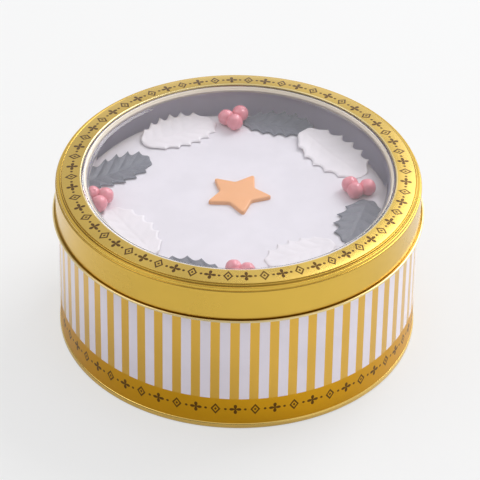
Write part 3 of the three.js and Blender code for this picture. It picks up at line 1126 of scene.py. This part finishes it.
def berry_shape(radius, neighbours, seed):
    """A bmesh of one soft berry round the origin, flattened towards its neighbours."""
    shape = bmesh.new()
    bmesh.ops.create_icosphere(shape, subdivisions=5, radius=1.0)
    uneven, dimple_depth = 0.05, 0.07  # shares of the radius
    dimple_spread = 0.012  # the larger, the wider the dimple
    shift = Vector((7.3 * seed, 0.0, 0.0))
    dimple = Vector((math.sin(2.4 * seed), math.cos(2.4 * seed), 1.6)).normalized()
    for vert in shape.verts:
        swell = 1 + uneven * noise.noise(vert.co * 1.6 + shift)
        swell -= dimple_depth * math.exp(-(1 - vert.co.dot(dimple)) / dimple_spread)
        vert.co *= swell * radius
    for neighbour in neighbours:
        reach = neighbour.length / 2
        towards = neighbour.normalized()
        for vert in shape.verts:
            beyond = vert.co.dot(towards) - reach
            if beyond > 0:
                vert.co -= towards * beyond
    return shape


class BuildBerries(bpy.types.Operator):
    """Glazed berries, pressed together in clusters of three"""

    bl_idname = "cake_tin.build_berries"
    bl_label = "Berries"
    bl_options = {"REGISTER", "UNDO"}

    def execute(self, context):
        radius = settings().toppings.berry_radius
        seed = 0
        for cluster, places in BERRIES.items():
            middles = [on_icing(*place) + Vector((0.0, 0.0, radius)) for place in places]
            for number, middle in enumerate(middles, start=1):
                neighbours = [other - middle for other in middles if other is not middle]
                shape = berry_shape(radius, neighbours, seed)
                shape.transform(Matrix.Translation(middle))
                node = f"{cluster}_{number}"
                as_piece(f"glazed_{node}", shape, berry_glaze(), [node])
                seed += 1
        return {"FINISHED"}


# ---- Stage ------------------------------------------------------------------------------------

CAMERA_ELEVATION = math.radians(37.24)
CAMERA_DISTANCE = 1.656
CAMERA_TARGET = Vector((0.0, 0.0, 0.0414))
CAMERA_ROLL = 0.0144  # radians
PICTURE_SIDE = 480
TARGET_PIXEL = (237.62, 251.7)  # where the target stands in the picture
FOCAL_PIXELS = 3204.4
SENSOR = 36.0

# Name, place, side and power of each square lamp
LAMPS = (
    ("key_lamp", (1.0, 1.0, 1.45), 1.1, 19.5),
    ("left_card", (-1.0, 0.0, 1.3), 1.0, 3.8),
    ("back_card", (0.6, 1.1, 0.85), 0.6, 1.0),
)


class BuildStage(bpy.types.Operator):
    """Pale floor, soft studio light and the camera"""

    bl_idname = "cake_tin.build_stage"
    bl_label = "Stage"
    bl_options = {"REGISTER", "UNDO"}

    def execute(self, context):
        self.make_floor()
        self.make_world(context.scene)
        self.make_lamps()
        self.make_camera(context.scene)
        context.scene.view_settings.view_transform = "Standard"
        return {"FINISHED"}

    def make_floor(self):
        """The pale floor. Part of its light reaches the camera alone."""
        half_side = 4.0
        camera_glow = 0.62  # that part
        shape = bmesh.new()
        bmesh.ops.create_grid(shape, x_segments=1, y_segments=1, size=half_side)
        mesh = bpy.data.meshes.new("pale_floor")
        shape.to_mesh(mesh)
        shape.free()
        floor = bpy.data.objects.new("pale_floor", mesh)
        bpy.context.scene.collection.objects.link(floor)
        material, nodes = new_material("pale_floor")
        surface = nodes.add(
            "ShaderNodeBsdfPrincipled",
            {
                "Base Color": tuple(settings().colours.floor),
                "Roughness": 0.7,
                "Specular IOR Level": 0.2,
            },
        )
        glow = nodes.add("ShaderNodeEmission", {"Color": (0.99, 0.995, 1.0), "Strength": 0.922})
        path = nodes.add("ShaderNodeLightPath")
        lifted = nodes.add("ShaderNodeMixShader")
        seen = nodes.math("MULTIPLY", path.outputs["Is Camera Ray"], camera_glow)
        nodes.feed(lifted.inputs[0], seen)
        nodes.feed(lifted.inputs[1], surface.outputs[0])
        nodes.feed(lifted.inputs[2], glow.outputs[0])
        finish_with(nodes, lifted.outputs[0])
        mesh.materials.append(material)

    def make_world(self, scene):
        """A soft pale room, darker low down at the front and the left, with a lit backdrop."""
        world = bpy.data.worlds.new("soft_room")
        world.use_nodes = True
        world.node_tree.nodes.clear()
        nodes = Nodes(world.node_tree)
        view = nodes.add("ShaderNodeTexCoord").outputs["Generated"]
        parts = nodes.add("ShaderNodeSeparateXYZ", {"Vector": view}).outputs
        left_strength, right_strength = 0.68, 0.78
        darkest, backdrop_strength = 0.85, 0.6
        left_over_front = 1.7  # how much more the dark part lies to the left than to the front

        low = nodes.ramp(parts["Z"], 0.2, 0.85, 1.0, 0.0)
        frontward = nodes.math("MULTIPLY", parts["Y"], -1.0)
        leftward = nodes.math("MULTIPLY_ADD", parts["X"], -left_over_front, frontward)
        unlit = nodes.ramp(leftward, -0.35, 0.7)
        dark = nodes.math("MULTIPLY", nodes.math("MULTIPLY", low, unlit), darkest)
        side = nodes.ramp(parts["X"], -0.8, 0.8, left_strength, right_strength, smooth=False)
        light = nodes.math("MULTIPLY", nodes.math("SUBTRACT", 1.0, dark), side)

        level = nodes.ramp(nodes.math("ABSOLUTE", parts["Z"]), 0.1, 0.4, 1.0, 0.0)
        behind = nodes.ramp(parts["Y"], -0.1, 0.5)
        backdrop = nodes.math("MULTIPLY", nodes.math("MULTIPLY", level, behind), backdrop_strength)
        light = nodes.math("ADD", light, backdrop)
        white = (1.0, 1.0, 1.0)
        background = nodes.add("ShaderNodeBackground", {"Color": white, "Strength": light})
        nodes.add("ShaderNodeOutputWorld", {"Surface": background.outputs[0]})
        scene.world = world

    def make_lamps(self):
        for name, place, side, power in LAMPS:
            light = bpy.data.lights.new(name, "AREA")
            light.size = side
            light.energy = power
            lamp = bpy.data.objects.new(name, light)
            lamp.location = place
            towards = CAMERA_TARGET - Vector(place)
            lamp.rotation_euler = towards.to_track_quat("-Z", "Y").to_euler()
            bpy.context.scene.collection.objects.link(lamp)

    def make_camera(self, scene):
        camera_data = bpy.data.cameras.new("camera")
        camera_data.sensor_width = SENSOR
        camera_data.lens = FOCAL_PIXELS * SENSOR / PICTURE_SIDE
        camera = bpy.data.objects.new("camera", camera_data)
        back = Vector((0.0, -math.cos(CAMERA_ELEVATION), math.sin(CAMERA_ELEVATION)))
        straight = (-back).to_track_quat("-Z", "Y")
        roll = Matrix.Rotation(CAMERA_ROLL, 3, "Z").to_quaternion()
        half = PICTURE_SIDE / 2
        seen = Vector((TARGET_PIXEL[0] - half, half - TARGET_PIXEL[1], -FOCAL_PIXELS))
        aside = seen.rotation_difference(Vector((0.0, 0.0, -1.0)))
        camera.rotation_mode = "QUATERNION"
        camera.rotation_quaternion = straight @ roll @ aside
        camera.location = CAMERA_TARGET + back * CAMERA_DISTANCE
        scene.collection.objects.link(camera)
        scene.camera = camera


# ---- Add-on -----------------------------------------------------------------------------------


class CakeTinSettings(bpy.types.PropertyGroup):
    """All sizes and colours."""

    tin: PointerProperty(type=TinSizes)
    lid: PointerProperty(type=LidSizes)
    cake: PointerProperty(type=CakeSizes)
    toppings: PointerProperty(type=ToppingSizes)
    colours: PointerProperty(type=FinishColours)


STEPS = (
    BuildStage,
    BuildBase,
    BuildWall,
    BuildLid,
    BuildWindow,
    BuildCake,
    BuildStar,
    BuildLeaves,
    BuildBerries,
)


class CakeTinPanel(bpy.types.Panel):
    """Lists the steps that build the tin and the cake"""

    bl_idname = "VIEW3D_PT_cake_tin"
    bl_label = "Cake Tin"
    bl_space_type = "VIEW_3D"
    bl_region_type = "UI"
    bl_category = "Cake Tin"

    def draw(self, context):
        for step in STEPS:
            self.layout.operator(step.bl_idname)
        for group in ("tin", "lid", "cake", "toppings", "colours"):
            box = self.layout.box()
            box.label(text=group.capitalize())
            values = getattr(context.scene.cake_tin, group)
            for name in values.__annotations__:
                box.prop(values, name)


CLASSES = (
    TinSizes,
    LidSizes,
    CakeSizes,
    ToppingSizes,
    FinishColours,
    CakeTinSettings,
    *STEPS,
    CakeTinPanel,
)


def register():
    for each in CLASSES:
        bpy.utils.register_class(each)
    bpy.types.Scene.cake_tin = PointerProperty(type=CakeTinSettings)


def unregister():
    del bpy.types.Scene.cake_tin
    for each in reversed(CLASSES):
        bpy.utils.unregister_class(each)


def main():
    register()
    for step in STEPS:
        family, action = step.bl_idname.split(".")
        getattr(getattr(bpy.ops, family), action)()


if __name__ == "__main__":
    main()
